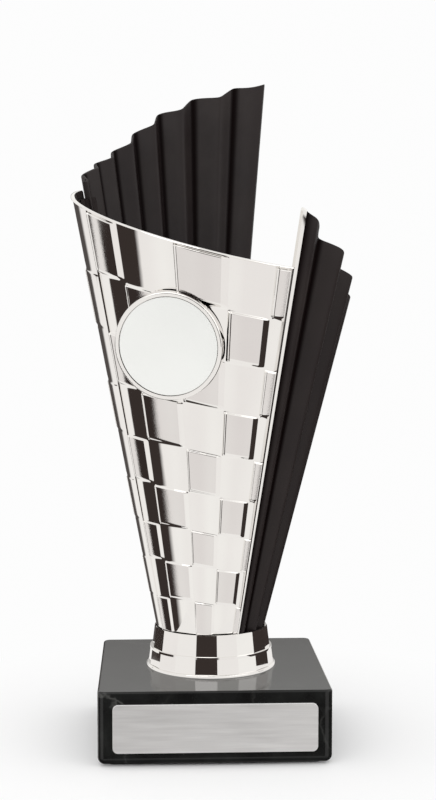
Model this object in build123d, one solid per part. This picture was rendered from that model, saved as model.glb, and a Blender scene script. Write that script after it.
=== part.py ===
"""A cone-shaped motorsport trophy cup on a square marble block, as separate pieces.

+Z is up, -Y is the front and +X is the viewer's right. The origin is the centre of the underside of
the felt, so the trophy stands on z = 0. All sizes are in millimetres.

The cup is one leaning round cone cut into two shells. A smooth silver shell covers the front and
the left, and a fluted black shell covers the right and the back. Each top edge is a slanted flat cut.
Angles round the cone start at the front and grow towards the right, so the back is at 180.
"""

from build123d import *
from math import asin, ceil, cos, pi, radians, sin
import os

# ---- marble block, felt and engraving plate ----
BASE_W = 60.6
BASE_D = 60.6
BASE_TOP = 19.6
FELT_T = 0.5
FELT_INSET = 2.5
BASE_CORNER_R = 2.0
BASE_TOP_R = 0.6
BASE_BOTTOM_R = 1.8
PLATE_W = 52.8
PLATE_H = 12.5
PLATE_T = 0.6
PLATE_CORNER_R = 1.4
GLUE_T = 0.15
GLUE_INSET = 1.0

# ---- the cone that both shells are cut from ----
APEX = Vector(-2.3, 0, -35.4)
LEAN = 0.032  # sideways drift of the cone's centre per mm of height above the apex
SLOPE = 0.226  # radius per mm of height above the apex
WALL = 1.3  # wall thickness measured level, at right angles to the centre line
WALL_LIFT = WALL / SLOPE  # a cone raised by this much leaves a wall of that thickness
CONE_TOP = 191.4

# ---- flutes of the black shell ----
FLUTE_COUNT = 24  # as many as a full turn would hold
FLUTE_RIDGE = 175.0  # angle of a ridge
FLUTE_CREASE = 0.85  # 0 gives round waves and 1 gives sharp folds
FLUTE_DEPTH_SIDE = 0.0120  # half of ridge to valley on the right, per mm of height above the apex
FLUTE_DEPTH_BACK = 0.0070  # the same round the back
FLUTE_DEPTH_LEFT = 0.0050  # the same near the left seam
FLUTE_FALL_SIDE = 0.485  # share of a flute that falls away from its ridge, on the right
FLUTE_FALL_BACK = 0.34  # the same round the back
FLUTE_WIDE_END = 60.4  # up to here the flutes are a little wider
FLUTE_WIDENING = 0.237
FLUTE_CROWD_START = 198.0  # from here to the left seam the flutes crowd together
FLUTE_CROWDING = 0.37
FLUTE_FADE = 11.0  # degrees over which the flutes flatten out towards each leaf's right edge
FLUTE_STEP = 1.35  # degrees between the section's corners

# ---- where the shells meet and how their tops are cut: z = level + x * slope_x + y * slope_y ----
SEAM_LEFT = -108.0
STRIP_START = 27.0
SEAM_RIGHT = 28.8
TALL_LEAF_EDGE = 164.2
SEAM_GAP = 0.12  # degrees left open on each side of a seam
FRONT_CUT = (138.9, -0.233, 0.194)
SIDE_LEAF_CUT = (128.9, -0.265, -0.546)
TALL_LEAF_CUT = (152.9, 0.222, 0.568)

# ---- lips of the black shell that lap behind the silver shell ----
LIP_T = 1.0
LIP_REACH = 6.0  # degrees behind the silver shell
LIP_ROOT = 8.0  # degrees bonded to the black shell
LIP_GAP = 0.12
LIP_DROP = 2.0  # how far the lip stops below the silver shell's top edge
LIP_FOOT_CLEAR = 0.5  # how far above the clamp plug it starts

# ---- foot collar ----
COLLAR_SIDES = 18
COLLAR_TURN = 3.6
COLLAR_TOP = 30.6
COLLAR_STEP = 24.7
COLLAR_TOP_R = 15.45
COLLAR_UPPER_R = 16.2
COLLAR_LOWER_R = 16.6
COLLAR_FOOT_R = 17.2
STEP_RING_R = 16.7
STEP_RING_T = 0.6
FLANGE_R = 17.6
FLANGE_T = 0.8
SHELL_SEAT = 29.3  # both shells stand on the collar's deck here
DECK_T = 1.6
COLLAR_LIP_CLEAR = 0.12
COLLAR_WALL = 1.4
TUBE_R = 5.5
RIB_COUNT = 6
RIB_T = 1.2

# ---- clamp: bolt, plug, washers and nut ----
BOLT_R = 3.0
BOLT_HEAD_AF = 10.0
BOLT_HEAD_H = 4.0
BOLT_END = 2.2
PLUG_BOTTOM = 29.4
PLUG_FLOOR = 32.6
PLUG_TOP = 38.4
PLUG_CLEAR = 0.15
SHANK_CLEAR = 0.3
THREAD_CLEAR = 0.05
POCKET_CLEAR = 0.2
COUNTERBORE_R = 12.0
COUNTERBORE_TOP = 10.6
BASE_HOLE_R = 3.5
WASHER_R = 10.0
WASHER_T = 1.2
SPRING_WASHER_R = 5.4
SPRING_WASHER_T = 1.3
SPRING_WASHER_SLIT = 1.0
NUT_H = 4.9

# ---- round centre disc and its bezel ----
DISC_CENTRE = Vector(-12.0, -32.2, 108.0)  # middle of the bezel's front rim
DISC_TURN = -14.0  # degrees that the disc faces round from the front
DISC_DIP = -10.0  # degrees that the disc faces below level
DISC_R = 12.6
DISC_T = 0.7
DISC_RECESS_R = 12.8
DISC_RECESS = 1.0
BEZEL_R = 13.9
BEZEL_ROOT_R = 14.5
BEZEL_DEPTH = 16.0
BEZEL_WALL = 1.2
BEZEL_DECK_T = 1.5
BEZEL_LIFT = 0.05  # gap between the bezel's root and the silver shell
PEG_R = 1.3
PEG_SPREAD = 4.5
PEG_HOLE_CLEAR = 0.1
PEG_CLIP_R = 3.4
PEG_CLIP_T = 0.8


def centre_at(z):
    """Centre of the cone's round section at height z."""
    return Vector(APEX.X + LEAN * (z - APEX.Z), APEX.Y, z)


def on_cone(z, angle, ratio):
    """Point at height z, at an angle round the cone, at a distance of ratio times height above the apex."""
    reach = ratio * (z - APEX.Z)
    turn = radians(angle)
    return centre_at(z) + Vector(reach * sin(turn), -reach * cos(turn), 0)


def smooth_cone(z_low, z_high, ratio=SLOPE):
    """Solid leaning round cone between two heights."""
    sections = [
        Wire([Edge.make_circle(ratio * (z - APEX.Z), Plane(centre_at(z)))]) for z in (z_low, z_high)
    ]
    return Solid.make_loft(sections, ruled=True)


def ease(value, low, high):
    """Rises smoothly from 0 to 1 as the value goes from low to high."""
    t = min(1.0, max(0.0, (value - low) / (high - low)))
    return t * t * (3 - 2 * t)


def flute_ratio(angle):
    """Radius of the fluted outer face per mm of height above the apex."""
    back = ease(angle, 90, 170)
    left = ease(angle, 200, 235)
    fall = FLUTE_FALL_SIDE + (FLUTE_FALL_BACK - FLUTE_FALL_SIDE) * back
    depth = FLUTE_DEPTH_SIDE + (FLUTE_DEPTH_BACK - FLUTE_DEPTH_SIDE) * back
    depth += (FLUTE_DEPTH_LEFT - FLUTE_DEPTH_BACK) * left
    fade = min(abs(angle - SEAM_RIGHT), abs(angle - TALL_LEAF_EDGE)) / FLUTE_FADE
    depth *= min(1.0, 0.1 + fade)
    even = angle + max(0.0, FLUTE_WIDE_END - angle) * FLUTE_WIDENING
    even += max(0.0, angle - FLUTE_CROWD_START) * FLUTE_CROWDING
    place = ((even - FLUTE_RIDGE) * FLUTE_COUNT / 360) % 1.0
    if place < fall:
        turn = pi / 2 + pi * place / fall
    else:
        turn = -pi / 2 + pi * (place - fall) / (1 - fall)
    wave = asin(FLUTE_CREASE * sin(turn)) / asin(FLUTE_CREASE)
    return SLOPE - depth + depth * wave


def fluted_cone(z_low, z_high):
    """The same cone with folded flutes running up it, wherever the black shell needs them."""
    start, end = SEAM_RIGHT - 2, 362 + SEAM_LEFT
    count = ceil((end - start) / FLUTE_STEP)
    angles = [start + (end - start) * i / count for i in range(count + 1)]
    sections = []
    for z in (z_low, z_high):
        rim = [on_cone(z, angle, flute_ratio(angle)) for angle in angles]
        sections.append(Wire.make_polygon(rim + [centre_at(z)]))
    return Solid.make_loft(sections, ruled=True)


def raised(shape, wall_lift):
    """Shape moved up along the cone's centre line, which thins it evenly all round."""
    return Pos(LEAN * wall_lift, 0, wall_lift) * shape


def sector(start, end, z_low, z_high):
    """Wedge between two angles whose flat sides run through the cone's centre line and apex."""
    steps = max(1, ceil((end - start) / 40))
    reach = 3 * SLOPE
    sections = []
    for z in (z_low, z_high):
        rim = [on_cone(z, start + (end - start) * i / steps, reach) for i in range(steps + 1)]
        sections.append(Wire.make_polygon([centre_at(z)] + rim))
    return Solid.make_loft(sections, ruled=True)


def above(cut, drop=0.0):
    """Everything above a slanted cut given as (level, slope_x, slope_y)."""
    level, slope_x, slope_y = cut
    plane = Plane(origin=(0, 0, level - drop), z_dir=(-slope_x, -slope_y, 1))
    return extrude(plane * Rectangle(400, 400), 200)


def prism(sides, across_flats, z_low, z_high):
    """Upright prism with a regular outline given by its width across flats."""
    outline = Plane.XY.offset(z_low) * RegularPolygon(across_flats / 2, sides, major_radius=False)
    return extrude(outline, z_high - z_low)


def rod(radius, z_low, z_high):
    """Upright cylinder on the z axis."""
    return Pos(0, 0, (z_low + z_high) / 2) * Cylinder(radius, z_high - z_low)


def marble_base():
    """Square marble block, rounded on every edge, with a stepped hole for the clamp bolt."""
    block = Pos(0, 0, (FELT_T + BASE_TOP) / 2) * Box(BASE_W, BASE_D, BASE_TOP - FELT_T)
    block = fillet(block.edges().filter_by(Axis.Z), BASE_CORNER_R)
    block = fillet(block.edges().group_by(Axis.Z)[-1], BASE_TOP_R)
    block = fillet(block.edges().group_by(Axis.Z)[0], BASE_BOTTOM_R)
    block -= rod(BASE_HOLE_R, 0, BASE_TOP + 1)
    return block - rod(COUNTERBORE_R, 0, COUNTERBORE_TOP)


def felt_pad():
    """Felt sheet under the marble, which hides the nut."""
    side = BASE_W - 2 * FELT_INSET
    return extrude(RectangleRounded(side, side, BASE_CORNER_R), FELT_T)


def plate_sheet(inset, y_back, thickness):
    """Rounded upright sheet on the front of the marble block."""
    plane = Plane(origin=(0, y_back, (FELT_T + BASE_TOP) / 2), x_dir=(1, 0, 0), z_dir=(0, -1, 0))
    outline = RectangleRounded(PLATE_W - 2 * inset, PLATE_H - 2 * inset, PLATE_CORNER_R)
    return extrude(plane * outline, thickness)


def faceted_tier(z_low, z_high, r_low, r_high):
    """Tapered tier of the collar with flat sides."""
    sections = []
    for z, radius in ((z_low, r_low), (z_high, r_high)):
        corners = []
        for i in range(COLLAR_SIDES):
            turn = radians(COLLAR_TURN + 360 * i / COLLAR_SIDES)
            corners.append(Vector(radius * sin(turn), -radius * cos(turn), z))
        sections.append(Wire.make_polygon(corners))
    return Solid.make_loft(sections, ruled=True)


def foot_collar():
    """Two faceted tiers on a round flange, hollow underneath, with a deck that carries the shells."""
    body = faceted_tier(BASE_TOP + FLANGE_T / 2, COLLAR_STEP, COLLAR_FOOT_R, COLLAR_LOWER_R)
    body += faceted_tier(COLLAR_STEP - 0.01, COLLAR_TOP, COLLAR_UPPER_R, COLLAR_TOP_R)
    body += rod(STEP_RING_R, COLLAR_STEP - STEP_RING_T / 2, COLLAR_STEP + STEP_RING_T / 2)
    flange = rod(FLANGE_R, BASE_TOP, BASE_TOP + FLANGE_T)
    body += fillet(flange.edges(), 0.3)
    body -= raised(smooth_cone(SHELL_SEAT, COLLAR_TOP + 1, SLOPE + COLLAR_LIP_CLEAR / 66), 0)
    deck_bottom = SHELL_SEAT - DECK_T
    room = Cone(COLLAR_FOOT_R - COLLAR_WALL, COLLAR_TOP_R - COLLAR_WALL, deck_bottom - BASE_TOP + 1)
    body -= Pos(0, 0, (deck_bottom + BASE_TOP - 1) / 2) * room
    inside = rod(COLLAR_TOP_R - 0.6, BASE_TOP, deck_bottom + 0.1)
    body += rod(TUBE_R, BASE_TOP, deck_bottom + 0.1)
    for i in range(RIB_COUNT):
        rib = Rot(0, 0, 360 * i / RIB_COUNT) * Pos(COLLAR_TOP_R / 2, 0, (BASE_TOP + deck_bottom) / 2)
        body += (rib * Box(COLLAR_TOP_R, RIB_T, deck_bottom - BASE_TOP)) & inside
    return body - rod(BOLT_R + SHANK_CLEAR, 0, COLLAR_TOP + 1)


def bezel_plane():
    """Plane of the bezel's front rim, whose normal faces out towards the viewer."""
    turn, dip = radians(DISC_TURN), radians(DISC_DIP)
    normal = (sin(turn) * cos(dip), -cos(turn) * cos(dip), sin(dip))
    return Plane(origin=DISC_CENTRE, x_dir=(cos(turn), sin(turn), 0), z_dir=normal)


def pegs(radius, near, far):
    """Two round pins behind the bezel, between two depths behind its front rim."""
    spots = [(-PEG_SPREAD, 0), (PEG_SPREAD, 0)]
    parts = [bezel_plane() * Pos(x, y, -(near + far) / 2) * Cylinder(radius, far - near) for x, y in spots]
    return parts[0] + parts[1]


def front_shell():
    """Smooth silver shell with a narrow upright strip that stands higher at its right edge."""
    z_low, z_high = SHELL_SEAT, CONE_TOP
    wall = smooth_cone(z_low, z_high) - raised(smooth_cone(z_low - WALL_LIFT - 5, z_high), WALL_LIFT)
    face = wall & sector(SEAM_LEFT + SEAM_GAP, STRIP_START + 0.05, z_low - 1, z_high + 1)
    face -= above(FRONT_CUT)
    strip = wall & sector(STRIP_START, SEAM_RIGHT - SEAM_GAP, z_low - 1, z_high + 1)
    strip -= above(SIDE_LEAF_CUT)
    return face + strip - pegs(PEG_R + PEG_HOLE_CLEAR, 1, BEZEL_DEPTH)


def lip(start, end, z_top_cut):
    """Inner lip that laps behind the silver shell next to a seam."""
    z_low, z_high = PLUG_TOP + LIP_FOOT_CLEAR, CONE_TOP
    outer = WALL_LIFT + LIP_GAP / SLOPE
    inner = outer + LIP_T / SLOPE
    ring = raised(smooth_cone(z_low - outer, z_high - outer), outer)
    ring -= raised(smooth_cone(z_low - inner - 5, z_high), inner)
    return (ring & sector(start, end, z_low - 1, z_high + 1)) - above(z_top_cut, LIP_DROP)


def back_shell():
    """Fluted black shell: a low leaf on the right, then a tall leaf round the back to the left."""
    z_low, z_high = SHELL_SEAT, CONE_TOP
    wall = fluted_cone(z_low, z_high) - raised(fluted_cone(z_low - WALL_LIFT - 5, z_high), WALL_LIFT)
    wall &= sector(SEAM_RIGHT + SEAM_GAP, 360 + SEAM_LEFT - SEAM_GAP, z_low - 1, z_high + 1)
    wall -= above(SIDE_LEAF_CUT) & sector(SEAM_RIGHT - 5, TALL_LEAF_EDGE, z_low, z_high + 60)
    wall -= above(TALL_LEAF_CUT) & sector(TALL_LEAF_EDGE, 365 + SEAM_LEFT, z_low, z_high + 60)
    left = 360 + SEAM_LEFT
    wall += lip(left - LIP_ROOT, left + LIP_REACH, FRONT_CUT)
    wall += lip(SEAM_RIGHT - LIP_REACH, SEAM_RIGHT + LIP_ROOT, FRONT_CUT)
    return wall


def disc_bezel():
    """Round holder for the centre disc, shaped at the back to sit on the cone."""
    plane = bezel_plane()
    body = plane * Pos(0, 0, -BEZEL_DEPTH / 2) * Cone(BEZEL_ROOT_R, BEZEL_R, BEZEL_DEPTH)
    body = fillet(body.edges().sort_by_distance(DISC_CENTRE)[0], 0.4)
    body -= plane * Pos(0, 0, -DISC_RECESS / 2 + 0.5) * Cylinder(DISC_RECESS_R, DISC_RECESS + 1)
    behind = DISC_RECESS + BEZEL_DECK_T
    hollow = Cylinder(BEZEL_R - BEZEL_WALL, BEZEL_DEPTH)
    body -= plane * Pos(0, 0, -behind - BEZEL_DEPTH / 2) * hollow
    body -= smooth_cone(SHELL_SEAT, CONE_TOP, SLOPE + BEZEL_LIFT / 143)
    return body + pegs(PEG_R, DISC_RECESS + 0.5, peg_end())


def peg_end():
    """Depth behind the bezel's front rim at which both pegs are through the silver shell's wall."""
    return DISC_RECESS + BEZEL_DECK_T + 6.5


def disc_layer(radius, near, far):
    """Thin round layer inside the bezel, between two depths behind its front rim."""
    return bezel_plane() * Pos(0, 0, -(near + far) / 2) * Cylinder(radius, far - near)


def peg_clips():
    """Two push-on clips that hold the bezel's pegs behind the silver shell."""
    near = peg_end() - PEG_CLIP_T - 0.4
    return pegs(PEG_CLIP_R, near, near + PEG_CLIP_T) - pegs(PEG_R + 0.02, near - 1, near + PEG_CLIP_T + 1)


def clamp_plug():
    """Tapered plug inside the foot of both shells, pulled down by the bolt."""
    lift = WALL_LIFT + PLUG_CLEAR / SLOPE
    ratio = SLOPE - 2 * FLUTE_DEPTH_SIDE
    body = raised(smooth_cone(PLUG_BOTTOM - lift, PLUG_TOP - lift, ratio), lift)
    body -= prism(6, BOLT_HEAD_AF + 2 * POCKET_CLEAR, PLUG_FLOOR, PLUG_TOP + 1)
    return body - rod(BOLT_R + SHANK_CLEAR, PLUG_BOTTOM - 1, PLUG_TOP)


def clamp_bolt():
    """Hex bolt standing head-up in the plug and reaching down through the marble."""
    shank = rod(BOLT_R, BOLT_END, PLUG_FLOOR + 0.5)
    shank = chamfer(shank.edges().group_by(Axis.Z)[0], 0.6)
    return shank + prism(6, BOLT_HEAD_AF, PLUG_FLOOR, PLUG_FLOOR + BOLT_HEAD_H)


def flat_washer():
    """Wide steel washer against the roof of the marble's stepped hole."""
    z_high = COUNTERBORE_TOP
    return rod(WASHER_R, z_high - WASHER_T, z_high) - rod(BOLT_R + SHANK_CLEAR, 0, z_high + 1)


def spring_washer():
    """Split locking washer under the flat washer."""
    z_high = COUNTERBORE_TOP - WASHER_T
    ring = rod(SPRING_WASHER_R, z_high - SPRING_WASHER_T, z_high) - rod(BOLT_R + SHANK_CLEAR, 0, z_high + 1)
    slit = Pos(SPRING_WASHER_R, 0, z_high - SPRING_WASHER_T / 2)
    return ring - slit * Box(2 * SPRING_WASHER_R, SPRING_WASHER_SLIT, 2 * SPRING_WASHER_T)


def hex_nut():
    """Nut that tightens the clamp from below."""
    z_high = COUNTERBORE_TOP - WASHER_T - SPRING_WASHER_T
    body = prism(6, BOLT_HEAD_AF, z_high - NUT_H, z_high)
    return body - rod(BOLT_R + THREAD_CLEAR, 0, z_high + 1)


DISC_BACK = DISC_RECESS - GLUE_T

PARTS = {
    "marble_base": marble_base(),
    "felt_pad": felt_pad(),
    "plate_adhesive": plate_sheet(GLUE_INSET, -BASE_D / 2, GLUE_T),
    "engraving_plate": plate_sheet(0, -BASE_D / 2 - GLUE_T, PLATE_T),
    "foot_collar": foot_collar(),
    "front_shell": front_shell(),
    "back_shell": back_shell(),
    "disc_bezel": disc_bezel(),
    "disc_adhesive": disc_layer(DISC_R - GLUE_INSET, DISC_BACK, DISC_RECESS),
    "centre_disc": disc_layer(DISC_R, DISC_BACK - DISC_T, DISC_BACK),
    "peg_clips": peg_clips(),
    "clamp_plug": clamp_plug(),
    "clamp_bolt": clamp_bolt(),
    "flat_washer": flat_washer(),
    "spring_washer": spring_washer(),
    "hex_nut": hex_nut(),
}

os.makedirs("parts", exist_ok=True)
for name, shape in PARTS.items():
    export_step(shape, f"parts/{name}.step")
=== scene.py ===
"""Looks of a cone-shaped motorsport trophy cup on a square marble block.

Lengths in the shape code are in millimetres and are turned into metres where a vertex is made. +Z is
up, -Y is the front and +X is the viewer's right. Angles round the cup start at the front and grow
towards the right. A height above the cone's apex is called h.
"""

from math import asin, cos, pi, radians, sin

import bmesh
import bpy
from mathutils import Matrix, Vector


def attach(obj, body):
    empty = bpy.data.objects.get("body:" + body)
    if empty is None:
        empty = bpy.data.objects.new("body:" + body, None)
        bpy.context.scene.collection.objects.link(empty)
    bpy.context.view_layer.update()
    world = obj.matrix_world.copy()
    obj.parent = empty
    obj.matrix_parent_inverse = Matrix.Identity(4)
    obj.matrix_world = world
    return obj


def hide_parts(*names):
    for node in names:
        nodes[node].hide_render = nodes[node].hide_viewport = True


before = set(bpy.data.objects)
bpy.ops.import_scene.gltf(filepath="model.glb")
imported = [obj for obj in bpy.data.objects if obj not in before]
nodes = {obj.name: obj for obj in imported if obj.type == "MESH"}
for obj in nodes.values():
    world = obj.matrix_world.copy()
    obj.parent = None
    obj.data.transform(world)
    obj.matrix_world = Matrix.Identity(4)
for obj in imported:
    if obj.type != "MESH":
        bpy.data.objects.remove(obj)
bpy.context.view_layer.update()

MM = 0.001

# ---- the cone of the cup, as in the CAD, with the tall leaf cut 0.1 mm lower to stay in its box ----
APEX_X = -2.3
APEX_Z = -35.4
LEAN = 0.032
SLOPE = 0.226
WALL = 1.3
SEAT = 29.3
SEAM_LEFT = -108.0
TILES_END = 26.2
STRIP_START = 27.0
STRIP_TILT = 0.0004  # how far the strip's left edge sits back, per mm of h
SEAM_RIGHT = 28.8
SEAM_GAP = 0.12  # degrees
TALL_LEAF_EDGE = 164.2
FRONT_CUT = (138.9, -0.233, 0.194)
SIDE_LEAF_CUT = (128.9, -0.265, -0.546)
TALL_LEAF_CUT = (152.8, 0.222, 0.568)

# ---- flutes of the black shell ----
FLUTES = 24
FLUTE_RIDGE = 175.0  # angle of a ridge
FLUTE_CREASE = 0.85
FLUTE_DEPTH = 0.0120  # half depth on the right, per mm of h
SHALLOWER_BACK = 0.0050
SHALLOWER_LEFT = 0.0020
FALL_SIDE = 0.485  # share of a flute that falls from ridge to valley
FALL_CHANGE = 0.145  # how much smaller that share is at the back
WIDE_END = 60.4
WIDENING = 0.237
CROWD_START = 198
CROWDING = 0.37
FADE = 11  # degrees over which the flutes fade at the shell's free edges

# ---- sag of the tall leaf's top edge ----
SAG = 2.6
SAG_START = 197
SAG_SPAN = 53

# ---- lips of the black shell that lap behind the silver one ----
LAP_FOOT = 38.9
LAP_T = 1.0
LAP_CLEAR = 0.12

# ---- checker tiles of the silver shell, with sizes per mm of h ----
COLUMNS_TOP = (SEAM_LEFT + SEAM_GAP, -88.0, -66.0, -47.1, -22.3, 0.4, 19.2, TILES_END, STRIP_START - 0.1)
COLUMNS_FOOT = (SEAM_LEFT + SEAM_GAP, -86.0, -63.0, -43.0, -17.5, 1.4, 21.6, TILES_END, STRIP_START - 0.1)
ROW_HEIGHTS = (152.6, 139.4, 126.8, 115.0, 103.9, 93.8, 84.4, 74.6)  # h of the row lines at the front
TILE_DEPTH = 0.0055  # how far the polished tiles lie below the beads
TILE_FACE = 0.62  # height of a frosted tile's face, as a share of the bead's
BEAD_TOP = 0.6  # place of the bead's top across the bead
BEAD = 0.0064  # width of the round bead down the left edge of a frosted tile
TILE_SLOPE = 0.0138  # width of the gentle right edge
MARGIN = 0.8  # height of the plain margin beside the upright strip
RIM_BAND = 0.6


# ============================== shape helpers ==============================

def cone_point(angle, h, reach):
    """Point in metres at height h above the apex, at an angle, reach mm from the cone's centre."""
    turn = radians(angle)
    return Vector((APEX_X + LEAN * h + reach * sin(turn), -reach * cos(turn), APEX_Z + h)) * MM


def cut_height(cut, angle, ratio=SLOPE):
    """Height above the apex at which a slanted cut crosses the cone at an angle."""
    level, slope_x, slope_y = cut
    across = LEAN + ratio * sin(radians(angle))
    along = -ratio * cos(radians(angle))
    return (level - APEX_Z + slope_x * APEX_X) / (1 - slope_x * across - slope_y * along)


def smoothstep(t):
    t = min(1.0, max(0.0, t))
    return t * t * (3 - 2 * t)


def new_object(name, bm, materials, slot_name, *replaced):
    """Mesh object on the root body."""
    bmesh.ops.recalc_face_normals(bm, faces=bm.faces)
    mesh = bpy.data.meshes.new(name)
    bm.to_mesh(mesh)
    bm.free()
    obj = bpy.data.objects.new(name, mesh)
    bpy.context.scene.collection.objects.link(obj)
    for material in materials:
        mesh.materials.append(material)
    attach(obj, "root")
    if replaced:
        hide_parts(*replaced)
    return obj


def smooth(obj, angle=30.0):
    """Smooth shading, broken at edges sharper than the angle."""
    mesh = obj.data
    mesh.polygons.foreach_set("use_smooth", [True] * len(mesh.polygons))
    mesh.set_sharp_from_angle(angle=radians(angle))
    mesh.update()


def add_wall(bm, outer, inner, material_of=None, crease_shading=None):
    """Closed wall between two grids of points, indexed [column][row], of equal size.

    Optional shade values give each column's painted shade from 0 to 1, strongest in the folds: (on the
    outer face, on the inner face).
    """
    columns, rows = len(outer), len(outer[0])
    # painted shade per vertex, read by the black plastic
    layer = bm.verts.layers.float.get("crease_shade") or bm.verts.layers.float.new("crease_shade")
    skins = [[[bm.verts.new(p) for p in column] for column in skin] for skin in (outer, inner)]
    front, back = skins
    if crease_shading:
        for side, skin in enumerate(skins):
            for column, depths in zip(skin, crease_shading):
                for vert in column:
                    vert[layer] = depths[side]

    def face(a, b, c, d, material=0):
        made = bm.faces.new((a, b, c, d))
        made.material_index = material

    for i in range(columns - 1):
        for j in range(rows - 1):
            material = material_of(i, j) if material_of else 0
            face(front[i][j], front[i + 1][j], front[i + 1][j + 1], front[i][j + 1], material)
            face(back[i][j], back[i][j + 1], back[i + 1][j + 1], back[i + 1][j])
        face(front[i][0], back[i][0], back[i + 1][0], front[i + 1][0])
        face(front[i][-1], front[i + 1][-1], back[i + 1][-1], back[i][-1])
    for i in (0, columns - 1):
        for j in range(rows - 1):
            face(front[i][j], front[i][j + 1], back[i][j + 1], back[i][j])


RIM_ROUND = ((0.45, 0.0), (0.18, 0.10), (0.04, 0.30), (0.0, 0.55))  # (mm below rim, mm in from face)


# ============================== materials ==============================

def material(name):
    """New node material: (material, node tree, its shader)."""
    made = bpy.data.materials.new(name)
    made.use_nodes = True
    tree = made.node_tree
    return made, tree, tree.nodes["Principled BSDF"]


def node(tree, kind, **values):
    """New shader node with its inputs or properties set."""
    made = tree.nodes.new(kind)
    for key, value in values.items():
        if key in made.inputs:
            made.inputs[key].default_value = value
        else:
            setattr(made, key, value)
    return made


def object_noise(tree, scale, detail=3.0, roughness=0.5, stretch=(1, 1, 1)):
    """Noise in object space, with scale in cycles per metre."""
    coords = node(tree, "ShaderNodeTexCoord")
    mapping = node(tree, "ShaderNodeMapping", Scale=stretch)
    made = node(tree, "ShaderNodeTexNoise", Scale=scale, Detail=detail, Roughness=roughness)
    tree.links.new(coords.outputs["Object"], mapping.inputs["Vector"])
    tree.links.new(mapping.outputs["Vector"], made.inputs["Vector"])
    return made.outputs["Fac"]


def ramp(tree, source, stops, interpolation="LINEAR"):
    """Colour ramp driven by a value."""
    made = node(tree, "ShaderNodeValToRGB")
    made.color_ramp.interpolation = interpolation
    elements = made.color_ramp.elements
    elements[0].position, elements[1].position = stops[0][0], stops[-1][0]
    for place, value in stops[1:-1]:
        elements.new(place)
    for element, (place, value) in zip(elements, stops):
        element.color = value if len(value) == 4 else (*value, 1)
    tree.links.new(source, made.inputs["Fac"])
    return made.outputs["Color"]


def grey(value):
    return (value, value, value, 1)


def bump(tree, shader, height, strength, distance):
    """Bump in front of the shader's normal, with distance in metres."""
    made = node(tree, "ShaderNodeBump", Strength=strength, Distance=distance)
    tree.links.new(height, made.inputs["Height"])
    tree.links.new(made.outputs["Normal"], shader.inputs["Normal"])
    return made


def white_in_mirrors(tree, shader):
    """Painted reflection: glossy rays see the part as a pale studio glow, so that the plated cup mirrors a
    plain pale floor.
    """
    path = node(tree, "ShaderNodeLightPath")
    pale = node(tree, "ShaderNodeEmission", Color=(0.93, 0.915, 0.90, 1))
    mix = node(tree, "ShaderNodeMixShader")
    tree.links.new(path.outputs["Is Glossy Ray"], mix.inputs["Fac"])
    tree.links.new(shader.outputs[0], mix.inputs[1])
    tree.links.new(pale.outputs[0], mix.inputs[2])
    tree.links.new(mix.outputs[0], tree.nodes["Material Output"].inputs["Surface"])


def plated(name, colour, rough_low, rough_high, grain=0.0, wave=0.15, metallic=1.0, gap_shade_mm=0.0):
    """Vacuum-metallised plastic, slightly wavy, with faint haze. Painted shade (ambient occlusion) darkens
    gaps of up to so many mm.
    """
    made, tree, shader = material(name)
    shader.inputs["Metallic"].default_value = metallic
    tint = ramp(tree, object_noise(tree, 60, 3), ((0.3, [c * 0.97 for c in colour]), (0.7, colour)))
    tree.links.new(tint, shader.inputs["Base Color"])
    if gap_shade_mm:
        # painted shade: ambient occlusion blends the colour towards near-black in the part's own gaps and
        # recesses
        gap = node(tree, "ShaderNodeAmbientOcclusion", Distance=gap_shade_mm * MM, samples=8, only_local=True)
        gap_shaded = node(tree, "ShaderNodeMix", data_type="RGBA")
        unshaded_share = ramp(tree, gap.outputs["AO"], ((0.35, grey(0)), (0.75, grey(1))))
        tree.links.new(unshaded_share, gap_shaded.inputs["Factor"])
        gap_shaded.inputs[6].default_value = (0.06, 0.05, 0.048, 1)
        tree.links.new(tint, gap_shaded.inputs[7])
        tree.links.new(gap_shaded.outputs[2], shader.inputs["Base Color"])
    haze = ramp(tree, object_noise(tree, 140, 5, 0.6), ((0.35, grey(rough_low)), (0.75, grey(rough_high))))
    tree.links.new(haze, shader.inputs["Roughness"])
    flow = bump(tree, shader, object_noise(tree, 90, 2), wave, 0.0002)
    if grain:
        speckle = node(tree, "ShaderNodeBump", Strength=grain, Distance=0.00008)
        tree.links.new(object_noise(tree, 5200, 4, 0.7), speckle.inputs["Height"])
        tree.links.new(flow.outputs["Normal"], speckle.inputs["Normal"])
        tree.links.new(speckle.outputs["Normal"], shader.inputs["Normal"])
    return made


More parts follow.
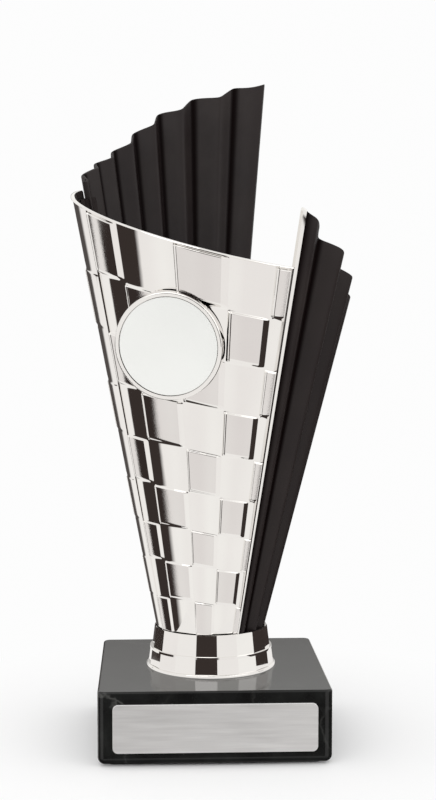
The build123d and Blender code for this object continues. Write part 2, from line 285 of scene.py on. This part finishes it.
def black_plastic():
    """Black styrene with a soft sheen. Painted shade darkens it down in the folds, near the seam by the
    silver strip and where it turns away from the view.
    """
    made, tree, shader = material("fluted_black")
    stops = ((0.3, (0.015, 0.0105, 0.0107)), (0.7, (0.022, 0.0160, 0.0150)))
    tint = ramp(tree, object_noise(tree, 45, 3), stops)
    # painted shade: the per-vertex shade values and a darkening at grazing angles blend the colour towards
    # near-black
    crease_shade = node(tree, "ShaderNodeAttribute", attribute_name="crease_shade")
    # painted shade: darker where the surface turns away from the view
    facing = node(tree, "ShaderNodeLayerWeight", Blend=0.5)
    limb = node(tree, "ShaderNodeMapRange")
    limb.inputs["From Min"].default_value = 0.62
    limb.inputs["From Max"].default_value = 0.92
    tree.links.new(facing.outputs["Facing"], limb.inputs["Value"])
    shade = node(tree, "ShaderNodeMath", operation="MAXIMUM")
    tree.links.new(crease_shade.outputs["Fac"], shade.inputs[0])
    tree.links.new(limb.outputs[0], shade.inputs[1])
    colour = node(tree, "ShaderNodeMix", data_type="RGBA")
    tree.links.new(shade.outputs[0], colour.inputs["Factor"])
    tree.links.new(tint, colour.inputs[6])
    colour.inputs[7].default_value = (0.004, 0.002, 0.002, 1)
    tree.links.new(colour.outputs[2], shader.inputs["Base Color"])
    sheen = ramp(tree, object_noise(tree, 260, 4, 0.6), ((0.3, grey(0.42)), (0.8, grey(0.52))))
    tree.links.new(sheen, shader.inputs["Roughness"])
    # painted shade also dims the specular where it is shaded
    gloss = node(tree, "ShaderNodeMapRange")
    gloss.inputs["To Min"].default_value = 0.22
    gloss.inputs["To Max"].default_value = 0.02
    tree.links.new(shade.outputs[0], gloss.inputs["Value"])
    tree.links.new(gloss.outputs[0], shader.inputs["Specular IOR Level"])
    bump(tree, shader, object_noise(tree, 500, 3), 0.10, 0.0001)
    return made


def marble():
    """Near-black polished stone with cloudy grey and a few fine white veins."""
    made, tree, shader = material("black_marble")
    coords = node(tree, "ShaderNodeTexCoord")
    warp = node(tree, "ShaderNodeTexNoise", Scale=42.0, Detail=5.0, Roughness=0.6)
    tree.links.new(coords.outputs["Object"], warp.inputs["Vector"])
    mixed = node(tree, "ShaderNodeMix", data_type="VECTOR")
    mixed.inputs["Factor"].default_value = 0.022
    tree.links.new(coords.outputs["Object"], mixed.inputs["A"])
    tree.links.new(warp.outputs["Color"], mixed.inputs["B"])
    veins = node(tree, "ShaderNodeTexVoronoi", feature="DISTANCE_TO_EDGE", Scale=38.0)
    tree.links.new(mixed.outputs["Result"], veins.inputs["Vector"])
    line = ramp(tree, veins.outputs["Distance"], ((0.0, grey(1.0)), (0.018, grey(0.0))))
    patchy = ramp(tree, object_noise(tree, 55, 3), ((0.50, grey(0.0)), (0.68, grey(1.0))))
    vein = node(tree, "ShaderNodeMath", operation="MULTIPLY")
    tree.links.new(line, vein.inputs[0])
    tree.links.new(patchy, vein.inputs[1])
    cloud = ramp(
        tree,
        object_noise(tree, 120, 8, 0.65),
        ((0.35, (0.006, 0.006, 0.006)), (0.60, (0.012, 0.0125, 0.012)), (0.85, (0.028, 0.029, 0.027))),
    )
    colour = node(tree, "ShaderNodeMix", data_type="RGBA")
    tree.links.new(vein.outputs[0], colour.inputs["Factor"])
    tree.links.new(cloud, colour.inputs[6])
    colour.inputs[7].default_value = (0.06, 0.06, 0.057, 1)
    tree.links.new(colour.outputs[2], shader.inputs["Base Color"])
    gloss = ramp(tree, object_noise(tree, 300, 3), ((0.3, grey(0.05)), (0.8, grey(0.12))))
    tree.links.new(gloss, shader.inputs["Roughness"])
    shader.inputs["IOR"].default_value = 1.55
    facing = node(tree, "ShaderNodeSeparateXYZ")
    tree.links.new(node(tree, "ShaderNodeNewGeometry").outputs["Normal"], facing.inputs[0])
    # painted shade: faces that look down reflect less, as if in shade under the block
    underside_shade = node(tree, "ShaderNodeMapRange")  # faces that look down reflect less
    for key, value in (("From Min", -0.35), ("From Max", -0.02), ("To Min", 0.02), ("To Max", 0.27)):
        underside_shade.inputs[key].default_value = value
    tree.links.new(facing.outputs["Z"], underside_shade.inputs["Value"])
    tree.links.new(underside_shade.outputs[0], shader.inputs["Specular IOR Level"])
    # painted reflection: the marble glows pale white to glossy rays
    white_in_mirrors(tree, shader)
    return made


def brushed_plate():
    """Satin aluminium with a fine sideways grain."""
    made, tree, shader = material("satin_aluminium")
    shader.inputs["Metallic"].default_value = 1.0
    grain = object_noise(tree, 900, 4, 0.7, stretch=(0.05, 1, 1))
    tree.links.new(ramp(tree, grain, ((0.3, grey(0.86)), (0.7, grey(0.95)))), shader.inputs["Base Color"])
    tree.links.new(ramp(tree, grain, ((0.3, grey(0.34)), (0.7, grey(0.44)))), shader.inputs["Roughness"])
    bump(tree, shader, grain, 0.12, 0.00005)
    # painted reflection: the plate glows pale white to glossy rays
    white_in_mirrors(tree, shader)
    return made


def plain_stock(name, colour, roughness, metallic, scale=700, depth=0.00008):
    """Everyday stock such as zinc-plated steel, moulded nylon or felt."""
    made, tree, shader = material(name)
    shader.inputs["Metallic"].default_value = metallic
    tint = ramp(tree, object_noise(tree, scale, 5, 0.6), ((0.3, [c * 0.8 for c in colour]), (0.7, colour)))
    tree.links.new(tint, shader.inputs["Base Color"])
    stops = ((0.3, grey(roughness * 0.85)), (0.7, grey(roughness * 1.1)))
    spread = ramp(tree, object_noise(tree, scale / 2, 3), stops)
    tree.links.new(spread, shader.inputs["Roughness"])
    bump(tree, shader, object_noise(tree, scale * 2, 3), 0.3, depth)
    return made


POLISHED = plated("polished_silver", (0.90, 0.885, 0.865), 0.03, 0.07)
FROSTED = plated("frosted_silver", (0.78, 0.755, 0.74), 0.04, 0.07, grain=0.10)
# painted shade darkens the bezel's own gaps and recess
BEZEL = plated("bezel_silver", (0.90, 0.885, 0.865), 0.03, 0.07, gap_shade_mm=1.2)
DISC_FACE = plated("disc_face", (0.92, 0.93, 0.905), 0.22, 0.26, wave=0.01, metallic=0.35)
BLACK = black_plastic()
MARBLE = marble()
PLATE = brushed_plate()
STEEL = plain_stock("zinc_steel", (0.55, 0.55, 0.53), 0.35, 1.0)
SPRING_STEEL = plain_stock("spring_steel", (0.22, 0.22, 0.23), 0.42, 1.0)
NYLON = plain_stock("moulded_nylon", (0.030, 0.030, 0.030), 0.5, 0.0)
FELT = plain_stock("black_felt", (0.020, 0.020, 0.021), 0.95, 0.0, scale=2500, depth=0.0004)
FILM = plain_stock("adhesive_film", (0.80, 0.79, 0.74), 0.45, 0.0)


# ============================== silver front shell ==============================

def column_angle(column, h):
    """Angle of a tile column's edge at height h: the edges drift slightly as the cone narrows."""
    t = (h - 66) / 110
    return COLUMNS_FOOT[column] + (COLUMNS_TOP[column] - COLUMNS_FOOT[column]) * t


def row_height(row, angle):
    """Height of a row line at an angle. Row 0 is just under the rim, the last one is the shell's foot."""
    if row == 0:
        return cut_height(FRONT_CUT, angle) - RIM_BAND
    if row > len(ROW_HEIGHTS):
        return SEAT - APEX_Z
    slope_x = -0.235 + 0.012 * row
    slope_y = 0.12 - 0.03 * row
    h = ROW_HEIGHTS[row - 1]
    level = APEX_Z + h - slope_x * (APEX_X + LEAN * h) + slope_y * SLOPE * h
    return cut_height((level, slope_x, slope_y), angle)


def is_matte(column, row):
    """Frosted tiles alternate with polished ones. The last column is a plain margin."""
    return column < len(COLUMNS_TOP) - 2 and (column % 2 == 0) == (row % 2 == 0)


def across_samples(bead, slope, plain_steps):
    """Places across a tile from 0 to 1, with the height of a frosted tile there: (place, height)."""
    samples = []
    for i in range(11):
        t = i / 10
        if t < BEAD_TOP:
            height = sin(pi / 2 * t / BEAD_TOP)
        else:
            height = TILE_FACE + (1 - TILE_FACE) * cos(pi / 2 * (t - BEAD_TOP) / 0.4)
        samples.append((bead * t, height))
    samples.append((bead * 1.15, TILE_FACE))
    samples += [(bead + (1 - bead - slope) * i / plain_steps, TILE_FACE) for i in range(1, plain_steps)]
    if not slope:
        return samples + [(0.97, TILE_FACE), (1.0, TILE_FACE)]
    samples += [(1 - slope * 1.1, TILE_FACE), (1 - slope, TILE_FACE)]
    fall = ((0.96, 0.985), (0.88, 0.91), (0.60, 0.59), (0.30, 0.26), (0.12, 0.07), (0.04, 0.01), (0.0, 0.0))
    return samples + [(1 - slope * place, TILE_FACE * up) for place, up in fall]


def up_samples(foot, head, plain_steps):
    """Places up a tile from 0 to 1, with the share of its full height there: (place, share)."""
    rise = [(0.0, 0.0), (0.22, 0.10), (0.40, 0.32), (0.60, 0.68), (0.78, 0.90)]
    samples = [(foot * place, up) for place, up in rise]
    samples += [(foot, 1.0), (foot * 1.2, 1.0)]
    samples += [(foot + (1 - foot - head) * i / plain_steps, 1.0) for i in range(1, plain_steps)]
    samples += [(1 - head * 1.2, 1.0), (1 - head, 1.0)]
    return samples + [(1 - head * place, up) for place, up in reversed(rise)]


def front_face(bm):
    """Tiled wall from the left seam to the upright strip. Frosted tiles stand proud of polished ones."""
    columns = []  # (tile column, place across it, how far up the raised face)
    last_column = len(COLUMNS_TOP) - 2
    for c in range(last_column + 1):
        span = radians(COLUMNS_TOP[c + 1] - COLUMNS_TOP[c]) * SLOPE
        if c < 2:
            slope = 2.2 * TILE_SLOPE / span
        else:
            slope = TILE_SLOPE / span if c < last_column - 1 else 0.0
        samples = across_samples(min(0.35, BEAD / span), slope, max(3, round(span * 130)))
        if c == last_column:
            samples = [(0.0, MARGIN), (0.5, MARGIN), (1.0, MARGIN)]
        columns += [(c, place, up) for place, up in samples[: None if c == last_column else -1]]
    last_row = len(ROW_HEIGHTS)
    rows = []
    for r in range(last_row, -1, -1):
        samples = up_samples(0.09, 0.05, 4)
        rows += [(r, place, up) for place, up in samples[: None if r == 0 else -1]]
    rows[:5] = [(last_row, 0.0, 1.0)]

    outer, inner = [], []
    for c, across, up_across in columns:
        face, lining = [], []
        mid = COLUMNS_TOP[c] + (COLUMNS_TOP[c + 1] - COLUMNS_TOP[c]) * across
        for r, place, up in rows:
            h = row_height(r + 1, mid) * (1 - place) + row_height(r, mid) * place
            angle = column_angle(c, h) * (1 - across) + column_angle(c + 1, h) * across
            if is_matte(c, r):
                raised = up_across * up
            else:
                raised = MARGIN if c == last_column else 0.0
            sink = TILE_DEPTH * h * (1 - raised) * (0.5 if c < 2 else 1.0)
            face.append(cone_point(angle, h, SLOPE * h - sink))
            lining.append(cone_point(angle, h, SLOPE * h - WALL))
        rim = cut_height(FRONT_CUT, mid)
        for below, back in RIM_ROUND:
            h = rim - below
            angle = column_angle(c, h) * (1 - across) + column_angle(c + 1, h) * across
            face.append(cone_point(angle, h, SLOPE * h - back))
            lining.append(cone_point(angle, h, SLOPE * h - WALL + back))
        outer.append(face)
        inner.append(lining)

    def material_of(i, j):
        if j >= len(rows) - 1:
            return 0
        c, r = columns[i][0], rows[j][0]
        flat = abs(columns[i][2] - TILE_FACE) + abs(columns[i + 1][2] - TILE_FACE) < 0.05
        return 1 if is_matte(c, r) and flat and rows[j][2] + rows[j + 1][2] > 1.9 else 0

    add_wall(bm, outer, inner, material_of)


def front_strip(bm):
    """Narrow upright strip at the silver shell's right edge, beside the black leaf."""
    outer, inner = [], []
    across = [0.0, 0.06, 0.15, 0.3, 0.5, 0.7, 0.85, 0.95, 0.985, 1.0]
    fall = [0.0] * 9 + [0.06]  # mm
    for t, edge in zip(across, fall):
        face, lining = [], []
        ratio = SLOPE - STRIP_TILT * (1 - t)
        for i in range(25):
            foot = SEAT - APEX_Z
            angle = (STRIP_START + 0.1) * (1 - t) + (SEAM_RIGHT - SEAM_GAP) * t
            h = foot + (cut_height(SIDE_LEAF_CUT, angle) - 0.45 - foot) * i / 24
            face.append(cone_point(angle, h, ratio * h - edge))
            lining.append(cone_point(angle, h, SLOPE * h - WALL))
        for below, back in RIM_ROUND[1:]:
            h = cut_height(SIDE_LEAF_CUT, angle) - below
            face.append(cone_point(angle, h, ratio * h - max(back, edge)))
            lining.append(cone_point(angle, h, SLOPE * h - WALL + back))
        outer.append(face)
        inner.append(lining)
    add_wall(bm, outer, inner)


bm = bmesh.new()
front_face(bm)
front_strip(bm)
front = new_object("checker_front", bm, (POLISHED, FROSTED), "silver_plating", "front_shell")
smooth(front, 50)


# ============================== black fluted shell ==============================

def flute(angle):
    """Flutes at an angle: (wave from -1 in a valley to 1 on a ridge, half its depth per mm of h)."""
    # the flutes are wider near the silver strip and crowd together towards the left seam
    even = angle + max(0.0, WIDE_END - angle) * WIDENING + max(0.0, angle - CROWD_START) * CROWDING
    back = smoothstep((angle - 90) / 80)
    left = smoothstep((angle - 200) / 35)
    fade = min(abs(angle - SEAM_RIGHT), abs(angle - TALL_LEAF_EDGE)) / FADE
    fade = min(1.0, 0.1 + fade)
    t = ((even - FLUTE_RIDGE) * FLUTES / 360) % 1.0
    fall = FALL_SIDE - FALL_CHANGE * back
    theta = pi / 2 + pi * t / fall if t < fall else -pi / 2 + pi * (t - fall) / (1 - fall)
    wave = asin(FLUTE_CREASE * sin(theta)) / asin(FLUTE_CREASE)
    return wave, (FLUTE_DEPTH - SHALLOWER_BACK * back - SHALLOWER_LEFT * left) * fade


def back_ratio(angle):
    """Radius of the black shell's outer face per mm of h."""
    wave, depth = flute(angle)
    return SLOPE - depth + depth * wave


def back_reach(angle, h):
    """Distance of the black shell's outer face from the cone's centre."""
    return back_ratio(angle) * h


def back_rim(angle, tall):
    """Height above the apex of the black shell's top edge. The tall leaf's edge sags on the left."""
    if not tall:
        return cut_height(SIDE_LEAF_CUT, angle, back_ratio(angle))
    t = (angle - SAG_START) / SAG_SPAN
    sag = SAG * sin(pi * t) ** 2 if 0 < t < 1 else 0.0
    return cut_height(TALL_LEAF_CUT, angle, back_ratio(angle)) - sag


def back_wall(bm):
    outer, inner, crease_shading = [], [], []
    start, end = SEAM_RIGHT + SEAM_GAP, 360 + SEAM_LEFT - SEAM_GAP
    low = [(start + (TALL_LEAF_EDGE - 0.01 - start) * i / 240, False) for i in range(241)]
    high = [(TALL_LEAF_EDGE + 0.01 + (end - TALL_LEAF_EDGE) * i / 160, True) for i in range(160)]
    high.append((end, True))
    for angle, tall in low + high:
        face, lining = [], []
        foot, rim = SEAT - APEX_Z, back_rim(angle, tall)
        for i in range(16):
            h = foot + (rim - 0.45 - foot) * i / 15
            face.append(cone_point(angle, h, back_reach(angle, h)))
            lining.append(cone_point(angle, h, back_reach(angle, h) - WALL))
        for below, back in RIM_ROUND[1:]:
            h = rim - below
            face.append(cone_point(angle, h, back_reach(angle, h) - back))
            lining.append(cone_point(angle, h, back_reach(angle, h) - WALL + back))
        outer.append(face)
        inner.append(lining)
        # painted shade: the outer face darkens in its valleys and near the seam, the inner face in its own
        # valleys
        wave = flute(angle)[0]
        seam = smoothstep(1 - (angle - start) / 4.5)
        crease_shading.append((max(seam, smoothstep(-2.6 * wave - 1.6)), smoothstep(2.6 * wave - 1.6)))
    add_wall(bm, outer, inner, crease_shading=crease_shading)


def lap_lip(bm, start, end):
    """Flat lip that laps behind the silver shell."""
    outer, inner = [], []
    for i in range(13):
        angle = start + (end - start) * i / 12
        face, lining = [], []
        for j in range(12):
            foot = LAP_FOOT - APEX_Z
            h = foot + (cut_height(FRONT_CUT, angle) - 2.2 - foot) * j / 11
            face.append(cone_point(angle, h, SLOPE * h - WALL - LAP_CLEAR))
            lining.append(cone_point(angle, h, SLOPE * h - WALL - LAP_CLEAR - LAP_T))
        outer.append(face)
        inner.append(lining)
    add_wall(bm, outer, inner)


bm = bmesh.new()
back_wall(bm)
lap_lip(bm, SEAM_RIGHT - 6, SEAM_RIGHT + 8)
lap_lip(bm, 352 + SEAM_LEFT, 366 + SEAM_LEFT)
back = new_object("fluted_back", bm, (BLACK,), "black_plastic", "back_shell")
smooth(back, 40)


# ============================== carried-over CAD nodes ==============================

def dress(name, finish):
    """Gives a CAD node its finish."""
    obj = nodes[name]
    obj.data.materials.clear()
    obj.data.materials.append(finish)


for name, finish in (
    ("marble_base", MARBLE),
    ("felt_pad", FELT),
    ("plate_adhesive", FILM),
    ("engraving_plate", PLATE),
    ("foot_collar", POLISHED),
    ("disc_bezel", BEZEL),
    ("disc_adhesive", FILM),
    ("centre_disc", DISC_FACE),
    ("peg_clips", SPRING_STEEL),
    ("clamp_plug", NYLON),
    ("clamp_bolt", STEEL),
    ("flat_washer", STEEL),
    ("spring_washer", SPRING_STEEL),
    ("hex_nut", STEEL),
):
    dress(name, finish)


# ============================== floor, light and camera ==============================

def floor():
    """Large pale floor."""
    bm = bmesh.new()
    corners = [bm.verts.new((x, y, 0)) for x, y in ((-30, -30), (30, -30), (30, 30), (-30, 30))]
    bm.faces.new(corners)
    mesh = bpy.data.meshes.new("floor")
    bm.to_mesh(mesh)
    bm.free()
    obj = bpy.data.objects.new("floor", mesh)
    bpy.context.scene.collection.objects.link(obj)
    made, tree, shader = material("pale_floor")
    shader.inputs["Base Color"].default_value = (0.97, 0.97, 0.97, 1)
    shader.inputs["Roughness"].default_value = 0.9
    shader.inputs["Specular IOR Level"].default_value = 0.1
    glow = node(tree, "ShaderNodeEmission", Strength=0.98)
    coords = node(tree, "ShaderNodeTexCoord")
    distance = node(tree, "ShaderNodeVectorMath", operation="LENGTH")
    fade = node(tree, "ShaderNodeMapRange")
    fade.inputs["From Min"].default_value = 0.03
    fade.inputs["From Max"].default_value = 0.11
    mix = node(tree, "ShaderNodeMixShader")
    tree.links.new(coords.outputs["Object"], distance.inputs[0])
    tree.links.new(distance.outputs["Value"], fade.inputs["Value"])
    tree.links.new(fade.outputs[0], mix.inputs["Fac"])
    tree.links.new(shader.outputs[0], mix.inputs[1])
    tree.links.new(glow.outputs[0], mix.inputs[2])
    tree.links.new(mix.outputs[0], tree.nodes["Material Output"].inputs["Surface"])
    mesh.materials.append(made)
    obj.visible_glossy = False  # shiny faces look through it into the tent
    return obj


def card(name, place, target, width, height, strength, colour=(1, 1, 1)):
    """Soft rectangular light."""
    light = bpy.data.lights.new(name, "AREA")
    light.shape = "RECTANGLE"
    light.size = width
    light.size_y = height
    light.energy = strength
    light.color = colour
    obj = bpy.data.objects.new(name, light)
    obj.location = place
    obj.rotation_mode = "QUATERNION"
    obj.rotation_quaternion = (Vector(target) - Vector(place)).to_track_quat("-Z", "Y")
    obj.visible_camera = False
    bpy.context.scene.collection.objects.link(obj)
    return obj


def studio_world():
    """White tent. Shiny faces also see its dark openings, placed by direction in degrees."""
    world = bpy.data.worlds.new("tent")
    bpy.context.scene.world = world
    world.use_nodes = True
    tree = world.node_tree
    background = tree.nodes["Background"]
    coords = node(tree, "ShaderNodeTexCoord")
    split = node(tree, "ShaderNodeSeparateXYZ")
    tree.links.new(coords.outputs["Generated"], split.inputs[0])

    def math(operation, *values):
        made = node(tree, "ShaderNodeMath", operation=operation)
        for i, value in enumerate(values):
            if isinstance(value, (int, float)):
                made.inputs[i].default_value = value
            else:
                tree.links.new(value, made.inputs[i])
        return made.outputs[0]

    azimuth = math("ARCTAN2", split.outputs["X"], math("MULTIPLY", split.outputs["Y"], -1))
    azimuth = math("MULTIPLY", azimuth, 180 / pi)
    elevation = math("MULTIPLY", math("ARCSINE", split.outputs["Z"]), 180 / pi)

    def band(value, low, high, soft):
        """1 between low and high, with soft edges."""
        share = math("MINIMUM", math("SUBTRACT", value, low), math("SUBTRACT", high, value))
        share = math("ADD", math("DIVIDE", share, soft), 0.5)
        return math("MINIMUM", math("MAXIMUM", share, 0), 1)

    # seen by the leaning cup: the left opening reaches further round, with a softer edge, lower down
    low = math("MAXIMUM", math("MULTIPLY", math("ADD", elevation, 23), -1 / 14), 0)
    left = math("ADD", math("DIVIDE", math("SUBTRACT", azimuth, -118), 1.5), 0.5)
    reach = math("SUBTRACT", math("ADD", math("MULTIPLY", low, 8), -77), azimuth)
    softness = math("ADD", math("MULTIPLY", low, 10), 4)
    left = math("MINIMUM", left, math("ADD", math("DIVIDE", reach, softness), 0.5))
    left = math("MINIMUM", math("MAXIMUM", left, 0), 1)
    below = math("MAXIMUM", left, band(azimuth, 60, 160, 3))
    below = math("MULTIPLY", below, band(elevation, -80, -7.5, 3))
    # seen by the upright collar
    level = math("MAXIMUM", band(azimuth, -133, -127.5, 1.2), band(azimuth, 97, 113, 2))
    level = math("MULTIPLY", level, band(elevation, -7.9, 14, 0.8))
    sides = math("MAXIMUM", below, level)
    behind = math("MULTIPLY", band(math("ABSOLUTE", azimuth), 167, 190, 6), band(elevation, -80, 14, 6))
    sides = math("MAXIMUM", sides, math("MULTIPLY", behind, 0.7))
    # seen by the left limb of the cup
    limb = math("MULTIPLY", band(azimuth, -200, -149, 7), band(elevation, -80, 8, 3))
    sides = math("MAXIMUM", sides, math("MULTIPLY", limb, 0.95))
    lens = math("MULTIPLY", band(azimuth, -30, 12, 5), band(elevation, -18.4, 10, 1.5))
    darkness = math("MAXIMUM", sides, lens)

    drift = node(tree, "ShaderNodeTexNoise", Scale=1.6, Detail=1.0)
    tree.links.new(coords.outputs["Generated"], drift.inputs["Vector"])
    white = ramp(tree, drift.outputs["Fac"], ((0.35, (0.90, 0.875, 0.86)), (0.65, (0.99, 0.985, 0.96))))
    seen = node(tree, "ShaderNodeMix", data_type="RGBA")
    tree.links.new(darkness, seen.inputs["Factor"])
    tree.links.new(white, seen.inputs[6])
    seen.inputs[7].default_value = (0.040, 0.031, 0.028, 1)

    path = node(tree, "ShaderNodeLightPath")
    pick = node(tree, "ShaderNodeMix", data_type="RGBA")
    tree.links.new(path.outputs["Is Glossy Ray"], pick.inputs["Factor"])
    pick.inputs[6].default_value = (0.98, 0.98, 0.98, 1)
    tree.links.new(seen.outputs[2], pick.inputs[7])
    tree.links.new(pick.outputs[2], background.inputs["Color"])
    background.inputs["Strength"].default_value = 1.0


def camera():
    """Long lens a little above the middle of the cup."""
    data = bpy.data.cameras.new("camera")
    data.sensor_width = 36
    data.lens = 69.2
    data.clip_start = 0.01
    data.clip_end = 100
    obj = bpy.data.objects.new("camera", data)
    bpy.context.scene.collection.objects.link(obj)
    place = Vector((-16.6, -418, 121.6)) * MM
    obj.location = place
    obj.rotation_mode = "QUATERNION"
    obj.rotation_quaternion = Vector((0.0443, 0.9966, -0.0698)).to_track_quat("-Z", "Y")
    bpy.context.scene.camera = obj


floor()
studio_world()
card("key_light", (-0.5, -0.9, 0.9), (0, 0, 0.09), 0.9, 0.9, 2.0)
card("fill_light", (0.9, -0.5, 0.6), (0, 0, 0.09), 0.8, 0.8, 1.0)
camera()
bpy.context.scene.view_settings.view_transform = "Standard"
